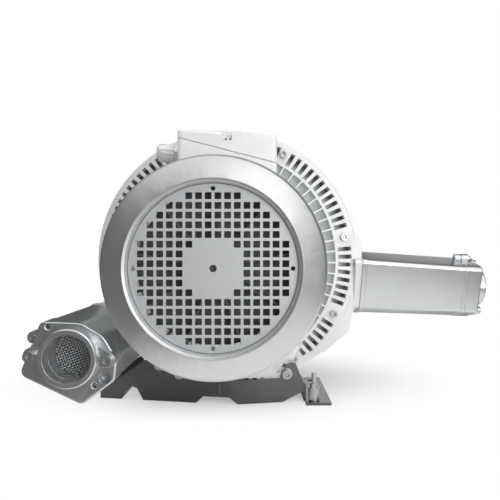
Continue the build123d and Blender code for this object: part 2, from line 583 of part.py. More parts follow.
def make_motor_side_casing():
    skip = tuple((angle, 3.2) for angle in CASING_BOLT_ANGLES)
    body = rod(HEAD_R, HEAD_FRONT, STAGE_1_MID)
    body = fillet(body.edges().sort_by(Axis.Z)[0], HEAD_RIM)
    for flat, (high, low) in ((SIDE_FLAT_X, SIDE_FLAT), (SIDE_LUG_X, SIDE_LUG)):
        body -= Pos(flat + 25, (high + low) / 2, HEAD_FRONT) * Box(50, low - high, 2 * SIDE_CUT_DEPTH)
    tall = extrude(Rectangle(400, 300), amount=STAGE_1_MID - HEAD_FRONT + 10)
    flat_x, flat_height = polar(FLAT_DISTANCE + 200, FLAT_ANGLE)
    body -= at(flat_x, flat_height, HEAD_FRONT - 5) * turn(FLAT_ANGLE) * tall
    body += rod(HUB_R, HEAD_FRONT - HUB_REACH, HEAD_FRONT)
    plate = make_face(Polyline((200, -108), (218, -80), (226, -55), (237, -27), (242, -8), (241, 5), (213, 127),
                               (170, 163), (124, 196), (110, 150), close=True))
    body += Pos(0, 0, HEAD_FRONT + 8) * extrude(plate, amount=10)
    places = silencer_places()
    wide = rounded(WIDE_END, -1)
    beyond = places["right"] * Pos(0, 0, 100) * Box(150, 130, 200)
    body -= beyond
    neck = places["right"] * extrude(wide, amount=-106)
    keep_in = Pos(0, 0, HEAD_FRONT + 8) * extrude(Rectangle(900, 900), amount=STAGE_1_MID - HEAD_FRONT - 8)
    beside = at(HEAD_R + 50, 0, STAGE_1_MID) * Box(100 + 2 * NECK_CLEAR, 600, 200)
    body += neck & (keep_in + beside)
    body += places["left"] * extrude(wide, amount=LEFT_SILENCER[2] - HEAD_FRONT - 20)
    slot = make_face(Polyline((SLOT_INNER_R, HEAD_FRONT - 1), (SLOT_OUTER_R, HEAD_FRONT - 1),
                              (SLOT_OUTER_R, HEAD_FRONT + SLOT_DEPTH_OUT),
                              (SLOT_INNER_R, HEAD_FRONT + SLOT_DEPTH_IN), close=True))
    slot = extrude(Plane.XZ * slot, amount=SLOT_WIDTH / 2, both=True)
    body -= around(SLOTS, slot, first=1.5, skip=skip + ((NECK_ANGLE, 15),))
    body -= around(CELLS, cooling_cell(), first=1.5, skip=((NECK_ANGLE, 21),))
    body += bulge()
    gap = IMPELLER_WIDTH / 2 + IMPELLER_GAP
    body -= rod(IMPELLER_R + IMPELLER_GAP, STAGE_1_MID - gap, STAGE_1_MID + 1)
    body -= channel(STAGE_1_MID - gap)
    body -= rod(SHAFT_DRIVE_R + 12, HEAD_FRONT - HUB_REACH - 1, STAGE_1_MID)
    body -= rod(BEARING_R + 12, HEAD_FRONT - HUB_REACH - 1, HEAD_FRONT + 6)
    body += ring(SHAFT_DRIVE_R + 13, SHAFT_DRIVE_R + 6, STAGE_1_MID - gap - 22, STAGE_1_MID - gap)
    tapping = Pos(FRAME_BORE_R + 15, 0, HEAD_FRONT - HUB_REACH - 1) * extrude(Circle(4.1), amount=24)
    body -= around(4, tapping, first=45)
    for angle in CASING_BOLT_ANGLES:
        x, height = polar(CASING_BOLT_R, angle)
        body -= at(x, height, HEAD_FRONT - 60) * extrude(Circle(CASING_BOLT_HOLE_R), amount=200)
    for x, height in BASE_BOLTS:
        body += at(x, height, HEAD_FRONT) * extrude(Circle(BASE_BOSS_R), amount=STAGE_1_MID - HEAD_FRONT - 20)
    body -= web_seat_cut()
    for x, height in BASE_BOLTS:
        body -= at(x, height, web_front(x)) * extrude(Circle(BASE_BOLT_R), amount=BASE_BOLT_LENGTH)
    body -= ring(SEAL_R + 1.6, SEAL_R - 1.6, STAGE_1_MID - 2, STAGE_1_MID + 1)
    for side, place in places.items():
        body -= place * extrude(Circle(DUCT_R), amount=-DUCT_LENGTH[side])
        body -= [place * tapping for tapping in pegs(MOUNT_SCREWS, 3.0, -14, 15)]
    keep("motor_side_casing", body)


def make_middle_casing():
    gap = IMPELLER_WIDTH / 2 + IMPELLER_GAP
    body = rod(HEAD_R - 4, STAGE_1_MID, STAGE_2_MID)
    body -= ring(HEAD_R + 5, HEAD_R - 12, STAGE_1_MID + 16, STAGE_2_MID - 16)
    body -= channel(STAGE_1_MID + gap)
    body -= channel(STAGE_2_MID - gap)
    body -= rod(SHAFT_DRIVE_R + 10, STAGE_1_MID, STAGE_2_MID)
    for angle in CASING_BOLT_ANGLES:
        x, height = polar(CASING_BOLT_R, angle)
        body += at(x, height, STAGE_1_MID) * extrude(Circle(9), amount=STAGE_2_MID - STAGE_1_MID)
        body -= at(x, height, STAGE_1_MID - 1) * extrude(Circle(CASING_BOLT_HOLE_R), amount=200)
    body -= rod(IMPELLER_R + IMPELLER_GAP, STAGE_1_MID - 1, STAGE_1_MID + gap)
    body -= rod(IMPELLER_R + IMPELLER_GAP, STAGE_2_MID - gap, STAGE_2_MID + 1)
    body -= ring(SEAL_R + 1.6, SEAL_R - 1.6, STAGE_2_MID - 2, STAGE_2_MID + 1)
    keep("middle_casing", body)
    keep("casing_seals", *[ring(SEAL_R + 1.5, SEAL_R - 1.5, joint - 1.9, joint - 0.1)
                           for joint in (STAGE_1_MID, STAGE_2_MID)])


def make_rear_cover():
    gap = IMPELLER_WIDTH / 2 + IMPELLER_GAP
    wall = STAGE_2_MID + gap + CHANNEL_SECTION_R + COVER_WALL
    body = spun((0, STAGE_2_MID), (HEAD_R - 4, STAGE_2_MID), (HEAD_R - 4, STAGE_2_MID + 16),
                (CHANNEL_R + 32, STAGE_2_MID + 22), (CHANNEL_R + 24, wall - 6), (CHANNEL_R + 14, wall),
                (CHANNEL_R - 14, wall), (CHANNEL_R - 26, wall - 6), (CHANNEL_R - 34, STAGE_2_MID + gap + 10),
                (70, STAGE_2_MID + gap + 10), (62, wall), (0, wall))
    rib_profile = make_face(Polyline((60, STAGE_2_MID + gap + 5), (60, wall - 4),
                                     (CHANNEL_R - 30, wall + COVER_RIB_HEIGHT - 14),
                                     (CHANNEL_R, wall + COVER_RIB_HEIGHT - 8),
                                     (CHANNEL_R + 22, wall + 4), (HEAD_R - 10, STAGE_2_MID + 18),
                                     (HEAD_R - 10, STAGE_2_MID + 8), close=True))
    rib = extrude(Plane.XZ * rib_profile, amount=2.0, both=True)
    body += around(COVER_RIBS, rib, first=2)
    for angle in CASING_BOLT_ANGLES:
        x, height = polar(CASING_BOLT_R, angle)
        body += at(x, height, STAGE_2_MID) * extrude(Circle(10), amount=NUT_SEAT)
        body -= at(x, height, STAGE_2_MID + NUT_SEAT) * extrude(Circle(10), amount=60)
        body -= at(x, height, STAGE_2_MID - 1) * extrude(Circle(CASING_BOLT_HOLE_R), amount=60)
    body -= rod(IMPELLER_R + IMPELLER_GAP, STAGE_2_MID - 1, STAGE_2_MID + gap)
    body -= channel(STAGE_2_MID + gap)
    body -= rod(SHAFT_DRIVE_R + 14, STAGE_2_MID, wall - 8)
    keep("rear_cover", body)


def make_casing_bolts():
    bolts = []
    nuts = []
    front = HEAD_FRONT
    back = STAGE_2_MID + NUT_SEAT
    for angle in CASING_BOLT_ANGLES:
        x, height = polar(CASING_BOLT_R, angle)
        shank = at(x, height, front) * extrude(Circle(CASING_BOLT_RADIUS), amount=back - front + 9)
        head = at(x, height, front - 7) * extrude(Circle(6.5), amount=7)
        head -= at(x, height, front - 8) * extrude(RegularPolygon(3.4, 6), amount=4.5)
        bolts.append(shank + head)
        nut = at(x, height, back) * (extrude(RegularPolygon(7.4, 6), amount=6.5) - extrude(
            Circle(CASING_BOLT_RADIUS), amount=10, both=True))
        nuts.append(nut)
    keep("casing_bolts", *bolts)
    keep("casing_nuts", *nuts)


def make_impeller(name, middle):
    start = middle - IMPELLER_WIDTH / 2
    end = middle + IMPELLER_WIDTH / 2
    body = spun((SHAFT_DRIVE_R + RUN_GAP, start), (44, start), (52, middle - 6), (BLADE_POCKET_IN - 8, middle - 6),
                (BLADE_POCKET_IN - 4, start), (IMPELLER_R, start), (IMPELLER_R, end),
                (BLADE_POCKET_IN - 4, end), (BLADE_POCKET_IN - 8, middle + 6), (52, middle + 6), (44, end),
                (SHAFT_DRIVE_R + RUN_GAP, end))
    outer = IMPELLER_R - 4
    depth = IMPELLER_WIDTH / 2 - 2
    inner_width = 2 * pi * BLADE_POCKET_IN / BLADES - BLADE_WALL
    outer_width = 2 * pi * outer / BLADES - BLADE_WALL
    pocket = make_face(Polyline((BLADE_POCKET_IN, -inner_width / 2), (outer, -outer_width / 2),
                                (outer, outer_width / 2), (BLADE_POCKET_IN, inner_width / 2), close=True))
    front_pocket = Pos(0, 0, start - 1) * extrude(pocket, amount=depth + 1)
    back_pocket = Pos(0, 0, end - depth) * extrude(pocket, amount=depth + 1)
    body -= around(BLADES, front_pocket)
    body -= around(BLADES, back_pocket)
    body -= at(0, SHAFT_DRIVE_R, middle) * Box(8.1, 7, IMPELLER_WIDTH + 2)
    keep(name, body)


def make_impeller_set():
    make_impeller("impeller_stage_1", STAGE_1_MID)
    make_impeller("impeller_stage_2", STAGE_2_MID)
    first_end = STAGE_1_MID + IMPELLER_WIDTH / 2
    second_start = STAGE_2_MID - IMPELLER_WIDTH / 2
    spacer = ring(SHAFT_DRIVE_R + 8, SHAFT_DRIVE_R + RUN_GAP, first_end, second_start)
    spacer -= at(0, SHAFT_DRIVE_R, STAGE_1_MID + 36) * Box(8.1, 7, 100)
    keep("impeller_spacer", spacer)
    collar_start = bearing_middles()[1] + BEARING_WIDTH / 2
    keep("shaft_sleeve", ring(SHAFT_DRIVE_R + 4, SHAFT_DRIVE_R, collar_start, STAGE_1_MID - IMPELLER_WIDTH / 2))
    nut_start = STAGE_2_MID + IMPELLER_WIDTH / 2
    keep("impeller_washer", ring(SHAFT_DRIVE_R + 10, SHAFT_DRIVE_R + RUN_GAP, nut_start, nut_start + 3))
    nut = Pos(0, 0, nut_start + 3) * (extrude(RegularPolygon(SHAFT_DRIVE_R + 9, 6), amount=12)
                                     - extrude(Circle(SHAFT_DRIVE_R + RUN_GAP), amount=30, both=True))
    keep("impeller_nut", nut)
    gap = IMPELLER_WIDTH / 2 + IMPELLER_GAP
    seal_front = STAGE_1_MID - gap - 21
    keep("shaft_seal", ring(SHAFT_DRIVE_R + 6, SHAFT_DRIVE_R + 4.1, seal_front, seal_front + 9))
    keep("stage_seal", ring(SHAFT_DRIVE_R + 10, SHAFT_DRIVE_R + 8.1, (STAGE_1_MID + STAGE_2_MID) / 2 - 5,
                           (STAGE_1_MID + STAGE_2_MID) / 2 + 5))


# ---------------------------------------------------------------- silencers

def silencer_places():
    """Frames of the two silencers in machine coordinates: z out of the port, y towards the dome."""
    turn_left = radians(LEFT_TURN)
    left = Plane(origin=(LEFT_SILENCER[0], -LEFT_SILENCER[1], LEFT_SILENCER[2]),
                 x_dir=(cos(turn_left), sin(turn_left), 0), z_dir=(0, 0, -1))
    down = radians(RIGHT_DROOP)
    tilt = radians(RIGHT_TURN)
    right = Plane(origin=(RIGHT_SILENCER[0], -RIGHT_SILENCER[1], RIGHT_SILENCER[2]),
                  x_dir=(-sin(down) * cos(tilt), cos(down) * cos(tilt), sin(tilt)),
                  z_dir=(cos(down), sin(down), 0))
    return {"left": left.location, "right": right.location}


def rounded(corners, grow=0.0, depth=0.0):
    """A face with rounded corners, from (x, y, radius) corners, grown on all sides."""
    face = make_face(Polyline(*[(x, y) for x, y, _ in corners], close=True))
    for x, y, radius in corners:
        face = fillet(face.vertices().sort_by_distance((x, y, 0))[0], radius)
    if grow:
        face = offset(face, amount=grow)
    return Pos(0, 0, depth) * face


def flange_outline(lugs):
    """Ring with two lugs, and a web from each lug to the ring's upper side."""
    outline = Circle(PORT_RING_R)
    for x, y in lugs:
        reach = (x * x + y * y) ** 0.5
        side = 1 if x > 0 else -1
        across = (-y / reach * side, x / reach * side)
        tip = (x + across[0] * LUG_R, y + across[1] * LUG_R)
        crest = (across[0] * PORT_RING_R, across[1] * PORT_RING_R)
        outline += Pos(x, y) * Circle(LUG_R)
        outline += make_face(Polyline((0, 0), (x, y), tip, crest, close=True))
        outline += make_face(Polyline((0, 0), (x, y), (x - across[0] * LUG_R, y - across[1] * LUG_R),
                                      (-across[0] * LUG_R, -across[1] * LUG_R), close=True))
    return outline


def pegs(places, radius, start, length):
    """Round bars along z at several places."""
    return [Pos(x, y, start) * extrude(Circle(radius), amount=length) for x, y in places]


def make_silencer(side, place):
    face = SILENCER_LENGTH - FLANGE_LENGTH
    cover_start = face - COVER_LENGTH
    wall = SILENCER_WALL
    shell = loft([rounded(WIDE_END), rounded(PORT_END, 0, cover_start)])
    hollow = loft([rounded(WIDE_END, -wall, wall), rounded(PORT_END, -wall, cover_start)])
    foot = extrude(rounded(WIDE_END, 1.5), amount=8)
    inlet = extrude(RectangleRounded(40, 30, 10), amount=wall + 1)
    lip = extrude(rounded(PORT_END, 1, cover_start - 6), amount=6)
    housing = shell + foot + lip - hollow - inlet
    housing += pegs(COVER_SCREWS, 6.5, cover_start - 12, 12)
    housing -= pegs(MOUNT_SCREWS, 3.2, -1, wall + 2)
    housing -= pegs(COVER_SCREWS, 2.6, cover_start - 10, 12)

    angle = radians(LUG_TURN[side])
    lugs = [(sign * LUG_SPAN / 2 * cos(angle), sign * LUG_SPAN / 2 * sin(angle)) for sign in (-1, 1)]
    other = 1 if angle > 0 else -1
    spare = [(-TAPPING_X / 2, other * TAPPING_Y / 2), (TAPPING_X / 2, -other * TAPPING_Y / 2)]
    cover = extrude(rounded(PORT_END, COVER_OVERHANG, cover_start), amount=COVER_LENGTH)
    cover = fillet(cover.faces().sort_by(Axis.Z)[-1].edges(), 2.5)
    cover += pegs(COVER_SCREWS, 7.5, cover_start, 12)
    cover -= pegs(COVER_SCREWS, 7.0, cover_start + 12, COVER_LENGTH)
    cover -= pegs(COVER_SCREWS, 2.8, cover_start - 1, COVER_LENGTH)
    cover += pegs(lugs, LUG_R - 0.5, cover_start + 4, COVER_LENGTH - 4)
    cover -= pegs(lugs, 4.2, cover_start + 8, COVER_LENGTH)
    cover -= pegs(spare, 3.2, face - 14, 20)
    for x, y in spare:
        cover -= Pos(x, y, face - 1.2) * Cone(3.2, 5.4, 2.4, align=(Align.CENTER, Align.CENTER, Align.MIN))
    cover -= pegs([(0, 0)], PORT_R, cover_start - 1, COVER_LENGTH + 2)
    cover -= pegs([(0, 0)], SCREEN_R + 0.2, cover_start - 1, 2.4)

    collar = Pos(0, 0, face) * extrude(Circle(PORT_RING_R), amount=FLANGE_LENGTH)
    collar = chamfer(collar.edges().sort_by(Axis.Z)[-1], 1.5)
    flange = Pos(0, 0, face) * extrude(flange_outline(lugs), amount=8) + collar
    flange -= pegs([(0, 0)], PORT_R, face - 1, FLANGE_LENGTH + 2)
    flange -= pegs(lugs, 4.2, face - 1, 20)

    bolts = []
    for x, y in lugs:
        shank = Pos(x, y, face - 14) * extrude(Circle(4.0), amount=22)
        head = Pos(x, y, face + 8) * (extrude(Circle(6.5), amount=7) - Pos(0, 0, 3) * extrude(
            RegularPolygon(3.4, 6), amount=6))
        bolts.append(shank + head)
    screws = []
    for x, y in COVER_SCREWS:
        shank = Pos(x, y, cover_start - 9) * extrude(Circle(2.5), amount=21)
        head = Pos(x, y, cover_start + 12) * (extrude(Circle(4.4), amount=5) - Pos(0, 0, 2) * extrude(
            RegularPolygon(2.4, 6), amount=5))
        screws.append(shank + head)

    screen = Circle(SCREEN_R)
    pitch = 7.0
    for i in range(-3, 4):
        for j in range(-3, 4):
            if (i * i + j * j) ** 0.5 * pitch < PORT_R - 5:
                screen -= Rot(0, 0, 20) * Pos(i * pitch, j * pitch) * Rectangle(pitch - 1.2, pitch - 1.2)
    screen = Pos(0, 0, cover_start + 0.1) * extrude(screen, amount=1.2)
    mount_screws = []
    for x, y in MOUNT_SCREWS:
        shank = Pos(x, y, -12) * extrude(Circle(3), amount=12 + wall)
        head = Pos(x, y, wall) * extrude(Circle(5), amount=6)
        mount_screws.append(shank + head)
    liner_start = wall + 6.3
    liner = loft([rounded(WIDE_END, -wall - 2, liner_start), rounded(PORT_END, -wall - 1.5, cover_start - 14)])
    liner -= pegs([(0, 0)], 24, 0, SILENCER_LENGTH)
    parts = {"silencer_housing": [housing], "silencer_cover": [cover], "port_flange": [flange],
             "port_bolts": bolts, "cover_screws": screws, "mesh_screen": [screen], "absorber": [liner]}
    for name, solids in parts.items():
        keep(side + "_" + name, *[place * s for s in solids])
    return [place * s for s in mount_screws]


def make_silencers():
    mount_screws = []
    for side, place in silencer_places().items():
        mount_screws += make_silencer(side, place)
    keep("silencer_mount_screws", *mount_screws)


# ---------------------------------------------------------------- base

def base_web_outline():
    """Front view of the web, with its arches, in machine x and downwards y."""
    floor = AXIS_HEIGHT
    points = [(LEFT_PAD[0], floor), *TURNED_EDGE, (-130, 172), (-6, 172), (-6, 208),
              (92, 208), (104, 184), (119, 181), (138, 228), (138, floor - 20), (96.5, floor),
              (18, floor), (4, floor - 12), (-42, floor - 12), (-55, floor), (-151, floor), (-162, floor - 20),
              (-172, floor - 24), (-182, floor - 20), (-191, floor)]
    return make_face(Polyline(*points, close=True))


def turned_edge():
    """Strip along the web's upper left edge, folded back by half a right angle."""
    (x1, y1), (x2, y2) = TURNED_EDGE
    along = Vector(x2 - x1, y2 - y1, web_front(x2) - web_front(x1))
    outward = Vector(y2 - y1, x1 - x2, 0).normalized()
    middle = ((x1 + x2) / 2, (y1 + y2) / 2, web_front((x1 + x2) / 2) + WEB_WALL / 2)
    place = Plane(origin=middle, x_dir=outward + Vector(0, 0, 1), z_dir=along)
    strip = Pos(TURNED_WIDTH / 2 - 2, 0) * Rectangle(TURNED_WIDTH, WEB_WALL)
    return place.location * extrude(strip, amount=along.length / 2, both=True)


def side_wall():
    """Wall that runs back from the web's right end and carries the right pad."""
    x = RIGHT_PAD[0]
    floor = AXIS_HEIGHT
    front = web_front(x)
    back = FOOT_CENTRE_DEPTH + PAD_REACH
    profile = make_face(Polyline((front, floor), (front, floor - SIDE_WALL_TOP), (front + 40, floor - SIDE_WALL_TOP),
                                 (back, floor - SIDE_WALL_END), (back, floor), close=True))
    return Pos(x + 2, 0, 0) * Rot(0, -90, 0) * extrude(profile, amount=WEB_WALL)


def make_base_bracket():
    outline = Pos(0, 0, HEAD_FRONT - 50) * extrude(base_web_outline(), amount=200)
    thick = WEB_WALL / cos(radians(FOLD_ANGLE))
    far = (-260, 260)
    fold = make_face(Polyline((far[0], web_front(far[0])), (FOLD_X, web_front(FOLD_X)),
                              (far[1], web_front(far[1])), (far[1], web_front(far[1]) + thick),
                              (FOLD_X, web_front(FOLD_X) + thick), (far[0], web_front(far[0]) + thick), close=True))
    fold = Pos(0, 400, 0) * extrude(Plane.XZ * fold, amount=400)
    bracket = (outline & fold) + turned_edge() + side_wall()
    bead = Pos(BEAD_X, BEAD_TOP, web_front(BEAD_X) + 1) * Rot(-90, 0, 0) * extrude(
        Circle(BEAD_R), amount=BEAD_END - BEAD_TOP)
    bracket += bead - web_behind()
    for low, high, front in ((*LEFT_PAD, web_front(LEFT_PAD[0])), (*RIGHT_PAD, RIGHT_PAD_FRONT)):
        back = FOOT_CENTRE_DEPTH + PAD_REACH
        pad = Pos((low + high) / 2, AXIS_HEIGHT - PAD_WALL / 2, (front + back) / 2) * Box(
            high - low, PAD_WALL, back - front)
        bracket += pad
    for x, height in BASE_BOLTS:
        bracket -= at(x, height, HEAD_FRONT - 60) * extrude(Circle(BASE_BOLT_R + 0.4), amount=100)
    for angle in CASING_BOLT_ANGLES:
        x, height = polar(CASING_BOLT_R, angle)
        bracket -= at(x, height, HEAD_FRONT - 60) * extrude(Circle(7.5), amount=100)
    for x, depth, _, _ in LEVELLERS:
        bracket -= Pos(x, AXIS_HEIGHT - 20, depth) * Rot(-90, 0, 0) * extrude(Circle(LEVELLER_R), amount=60)
    for sx in (-1, 1):
        for sy in (-1, 1):
            x = FOOT_CENTRE_X + sx * FOOT_SPACING_X / 2
            depth = FOOT_CENTRE_DEPTH + sy * FOOT_SPACING_Y / 2
            bracket -= Pos(x, AXIS_HEIGHT - 20, depth) * Rot(-90, 0, 0) * extrude(Circle(FOOT_HOLE_R), amount=60)
    keep("base_bracket", bracket)


def make_base_fixings():
    bolts = []
    for x, height in BASE_BOLTS:
        face = web_front(x) - 1.2
        head = at(x, height, face - 8) * extrude(Circle(8), amount=8)
        head -= at(x, height, face - 9) * extrude(RegularPolygon(4.6, 6), amount=5)
        shank = at(x, height, face) * extrude(Circle(BASE_BOLT_R), amount=BASE_BOLT_LENGTH - 1)
        shank_washer = at(x, height, face) * extrude(Circle(10), amount=6)
        bolts.append(head + shank + (shank_washer - web_behind()))
    keep("base_bolts", *bolts)
    studs = []
    nuts = []
    for x, depth, height, lift in LEVELLERS:
        place = Pos(x, AXIS_HEIGHT, depth) * Rot(90, 0, 0)
        studs.append(place * extrude(Circle(LEVELLER_R), amount=height))
        nut = Pos(0, 0, PAD_WALL + lift) * extrude(RegularPolygon(7.4, 6), amount=6.5)
        if lift:
            nut += Pos(0, 0, PAD_WALL) * extrude(Circle(9.5), amount=lift)
        nuts.append(place * (nut - extrude(Circle(LEVELLER_R), amount=height, both=True)))
    keep("levelling_studs", *studs)
    keep("levelling_nuts", *nuts)


def build():
    make_cowl()
    make_grille()
    make_cowl_screws()
    make_cooling_fan()
    make_motor_frame()
    make_end_shields()
    make_bearings()
    make_windings()
    make_rotor()
    make_terminal_box()
    make_terminal_block()
    make_gland()
    make_motor_side_casing()
    make_middle_casing()
    make_rear_cover()
    make_casing_bolts()
    make_impeller_set()
    make_silencers()
    make_base_bracket()
    make_base_fixings()


build()
os.makedirs("parts", exist_ok=True)
for node, solids in NODES.items():
    shape = solids[0] if len(solids) == 1 else Compound(children=list(solids))
    export_step(shape, f"parts/{node}.step")
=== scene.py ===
import json
import math

import bmesh
import bpy
from mathutils import Matrix, Vector

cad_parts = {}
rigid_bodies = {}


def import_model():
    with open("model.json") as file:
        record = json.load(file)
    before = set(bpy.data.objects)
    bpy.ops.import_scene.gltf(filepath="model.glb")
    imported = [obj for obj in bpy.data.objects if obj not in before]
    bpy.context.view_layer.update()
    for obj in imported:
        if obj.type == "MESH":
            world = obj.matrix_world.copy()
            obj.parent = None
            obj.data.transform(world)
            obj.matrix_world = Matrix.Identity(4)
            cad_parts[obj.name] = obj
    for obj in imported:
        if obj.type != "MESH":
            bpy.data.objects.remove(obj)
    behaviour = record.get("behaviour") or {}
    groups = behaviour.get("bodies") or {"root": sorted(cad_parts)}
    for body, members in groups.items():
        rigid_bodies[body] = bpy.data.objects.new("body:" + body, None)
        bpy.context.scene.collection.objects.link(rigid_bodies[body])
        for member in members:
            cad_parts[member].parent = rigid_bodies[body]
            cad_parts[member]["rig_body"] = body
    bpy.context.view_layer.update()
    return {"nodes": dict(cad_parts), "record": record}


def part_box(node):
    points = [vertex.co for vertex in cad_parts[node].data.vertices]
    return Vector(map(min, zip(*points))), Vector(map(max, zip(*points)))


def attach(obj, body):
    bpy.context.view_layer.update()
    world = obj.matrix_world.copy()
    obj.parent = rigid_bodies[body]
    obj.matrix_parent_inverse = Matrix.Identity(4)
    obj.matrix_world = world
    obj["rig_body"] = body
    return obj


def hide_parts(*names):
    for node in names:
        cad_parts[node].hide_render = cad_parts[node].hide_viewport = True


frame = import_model()

# Side channel blower in bare and silver-painted aluminium, standing on a white studio floor.
# Metres, +Z up.  The shaft runs along Y, with the motor's fan cowl towards the camera at -Y.

MM = 0.001

# ---- edges of the finished pieces ----
SHARP = math.radians(32)       # an edge that turns more than this is rounded
FLAT = math.radians(0.3)       # one that turns less than this only parts two triangles of a flat face
WELD = 0.002 * MM              # corners closer than this are one corner
ROUNDING_SEGMENTS = 2

# ---- woven screens in the ports ----
SCREEN_RADIUS = 30.6 * MM
SCREEN_PITCH = 3.0 * MM        # from wire to wire
SCREEN_WIRE = 0.48 * MM        # radius of a wire
SCREEN_SIDES = 6
SCREEN_STEP = 0.75 * MM        # length of a wire's straight pieces
SCREEN_TURN = math.radians(20)

# ---- floor ----
FLOOR_HALF = 6.0
SHADOW_CENTRE = (0.02, 0.08)
SHADOW_SPREAD = 0.6            # the shadow's depth along Y, as a share of its width along X
SHADOW_CORE = 0.08             # inside this distance the floor takes nearly the whole shadow
SHADOW_REACH = 0.29            # and beyond this one it is plain white
SHADOW_LIFT = 0.1              # the share of plain white that stays in the shadow's core
GLOW_START = (0.28, 0.42)      # in reflections the floor turns white over these distances
GLOW_CENTRE = (0.25, -0.25)
GLOW_END = (0.34, 0.62)        # and dims again over these distances from the glow's centre
GLOW_DIM = 0.12                # to this brightness

# ---- studio ----
FILL_STRENGTH = 0.42           # even light from all round
DARK_WALLS = "#484A4C"         # what metal reflects beside the lamps and the floor
# place, the point it looks at, width and height, and watts
LAMPS = {
    "overhead": ((-0.1, -0.6, 1.7), (0.05, -0.1, 0.2), (3.0, 1.7), 15),
    "key": ((0.9, -1.45, 1.5), (0.05, -0.1, 0.25), (1.8, 1.4), 9),
    "front_fill": ((1.1, -2.3, 0.55), (0.05, 0, 0.25), (1.5, 1.0), 17),
    "back_card": ((0.5, 1.7, 0.55), (0.1, 0, 0.25), (1.8, 0.9), 6),
}
CAMERA_PLACE = (0.071, -0.931, 0.2773)
CAMERA_LENS = 34.78            # focal length in millimetres
CAMERA_SHIFT = (-0.007, -0.0116)
CAMERA_NEAR = 10 * MM

# ---- places of the two colours and of their mix among a Mix node's sockets ----
MIX_A = 6
MIX_B = 7
MIX_RESULT = 2


# ---------------------------------------------------------------- shader helpers

def rgb(hexa):
    """Linear colour from an sRGB hex string."""
    parts = [int(hexa[i:i + 2], 16) / 255 for i in (1, 3, 5)]
    return (*[c / 12.92 if c <= 0.04045 else ((c + 0.055) / 1.055) ** 2.4 for c in parts], 1)


def plug(tree, node, inputs):
    """Links an input that is given as a socket, and sets any other."""
    for name, value in inputs.items():
        if isinstance(value, bpy.types.NodeSocket):
            tree.links.new(value, node.inputs[name])
        else:
            node.inputs[name].default_value = value


def add(tree, kind, inputs=None, **settings):
    """A shader node with its settings, its values and its links."""
    node = tree.nodes.new("ShaderNode" + kind)
    for name, value in settings.items():
        setattr(node, name, value)
    plug(tree, node, inputs or {})
    return node


def surface(name, inputs):
    """A new material with its shader, and the Object coordinates that its patterns follow."""
    material = bpy.data.materials.new(name)
    material.use_nodes = True
    tree = material.node_tree
    shader = tree.nodes["Principled BSDF"]
    plug(tree, shader, inputs)
    return material, tree, shader, add(tree, "TexCoord").outputs["Object"]


def mottle(tree, shader, place, width, dark, light, detail=3.0):
    """Clouds or specks of colour between two shades, each about so many millimetres wide."""
    noise = add(tree, "TexNoise", {"Vector": place, "Scale": 1 / (width * MM), "Detail": detail})
    mix = add(tree, "Mix", {"Factor": noise.outputs["Fac"], MIX_A: rgb(dark), MIX_B: rgb(light)},
              data_type="RGBA")
    plug(tree, shader, {"Base Color": mix.outputs[MIX_RESULT]})


def wander(tree, shader, place, width, low, high, detail=3.0):
    """Roughness that wanders between two values, over patches so many millimetres wide."""
    noise = add(tree, "TexNoise", {"Vector": place, "Scale": 1 / (width * MM), "Detail": detail})
    gloss = add(tree, "MapRange", {"Value": noise.outputs["Fac"], "To Min": low, "To Max": high})
    plug(tree, shader, {"Roughness": gloss.outputs["Result"]})


def grain(tree, shader, place, width, height, detail=3.0):
    """Bumps of so many millimetres' width and height."""
    noise = add(tree, "TexNoise", {"Vector": place, "Scale": 1 / (width * MM), "Detail": detail})
    bump = add(tree, "Bump", {"Height": noise.outputs["Fac"], "Distance": height * MM})
    plug(tree, shader, {"Normal": bump.outputs["Normal"]})


# ---------------------------------------------------------------- materials

def cast_aluminium():
    """Bare pressure die casting: dense skin with cloudy flow marks and a faint sandy grain."""
    material, tree, shader, place = surface("cast_aluminium", {"Metallic": 0.3})
    mottle(tree, shader, place, 71, "#DBDDDD", "#EBECEC")
    wander(tree, shader, place, 17, 0.36, 0.54)
    grain(tree, shader, place, 0.9, 0.04)
    return material


def silver_paint():
    """Silver enamel sprayed on the motor's casting: metallic flake and a trace of orange peel.

    Real flakes are some hundredths of a millimetre wide, and are drawn at 0.4 so that they show.
    """
    material, tree, shader, place = surface("silver_paint", {"Metallic": 0.65})
    mottle(tree, shader, place, 0.385, "#B2B4B6", "#CCCED0", detail=1.0)
    wander(tree, shader, place, 22, 0.34, 0.42)
    grain(tree, shader, place, 2.4, 0.02, detail=1.0)
    return material


def silver_sheet():
    """Silver stove enamel over pressed sheet: an even metallic coat, with flake as on the casting."""
    material, tree, shader, place = surface("silver_sheet", {"Metallic": 0.93})
    mottle(tree, shader, place, 0.385, "#D4D5D6", "#E4E5E6", detail=1.0)
    wander(tree, shader, place, 22, 0.43, 0.5)
    grain(tree, shader, place, 2.4, 0.02, detail=1.0)
    return material


def punched_sheet():
    """Punched steel sheet under a thinner coat of the same enamel, a little duller."""
    material, tree, shader, place = surface("punched_sheet", {"Metallic": 0.5})
    mottle(tree, shader, place, 0.45, "#C4C6C8", "#D4D6D7", detail=1.0)
    wander(tree, shader, place, 33, 0.38, 0.48)
    return material


def cast_housing():
    """Silencer castings, blasted and painted silver: satin, with a soft grain."""
    material, tree, shader, place = surface("cast_housing", {"Metallic": 0.9})
    mottle(tree, shader, place, 55, "#CCCED0", "#DDDFE0")
    wander(tree, shader, place, 14, 0.26, 0.34)
    grain(tree, shader, place, 1.1, 0.03)
    return material


def grey_steel():
    """Bent steel plate under dark metallic grey paint, with faint clouds in its gloss."""
    material, tree, shader, place = surface("grey_steel", {"Metallic": 0.95})
    mottle(tree, shader, place, 40, "#646668", "#747678")
    wander(tree, shader, place, 29, 0.28, 0.4)
    return material


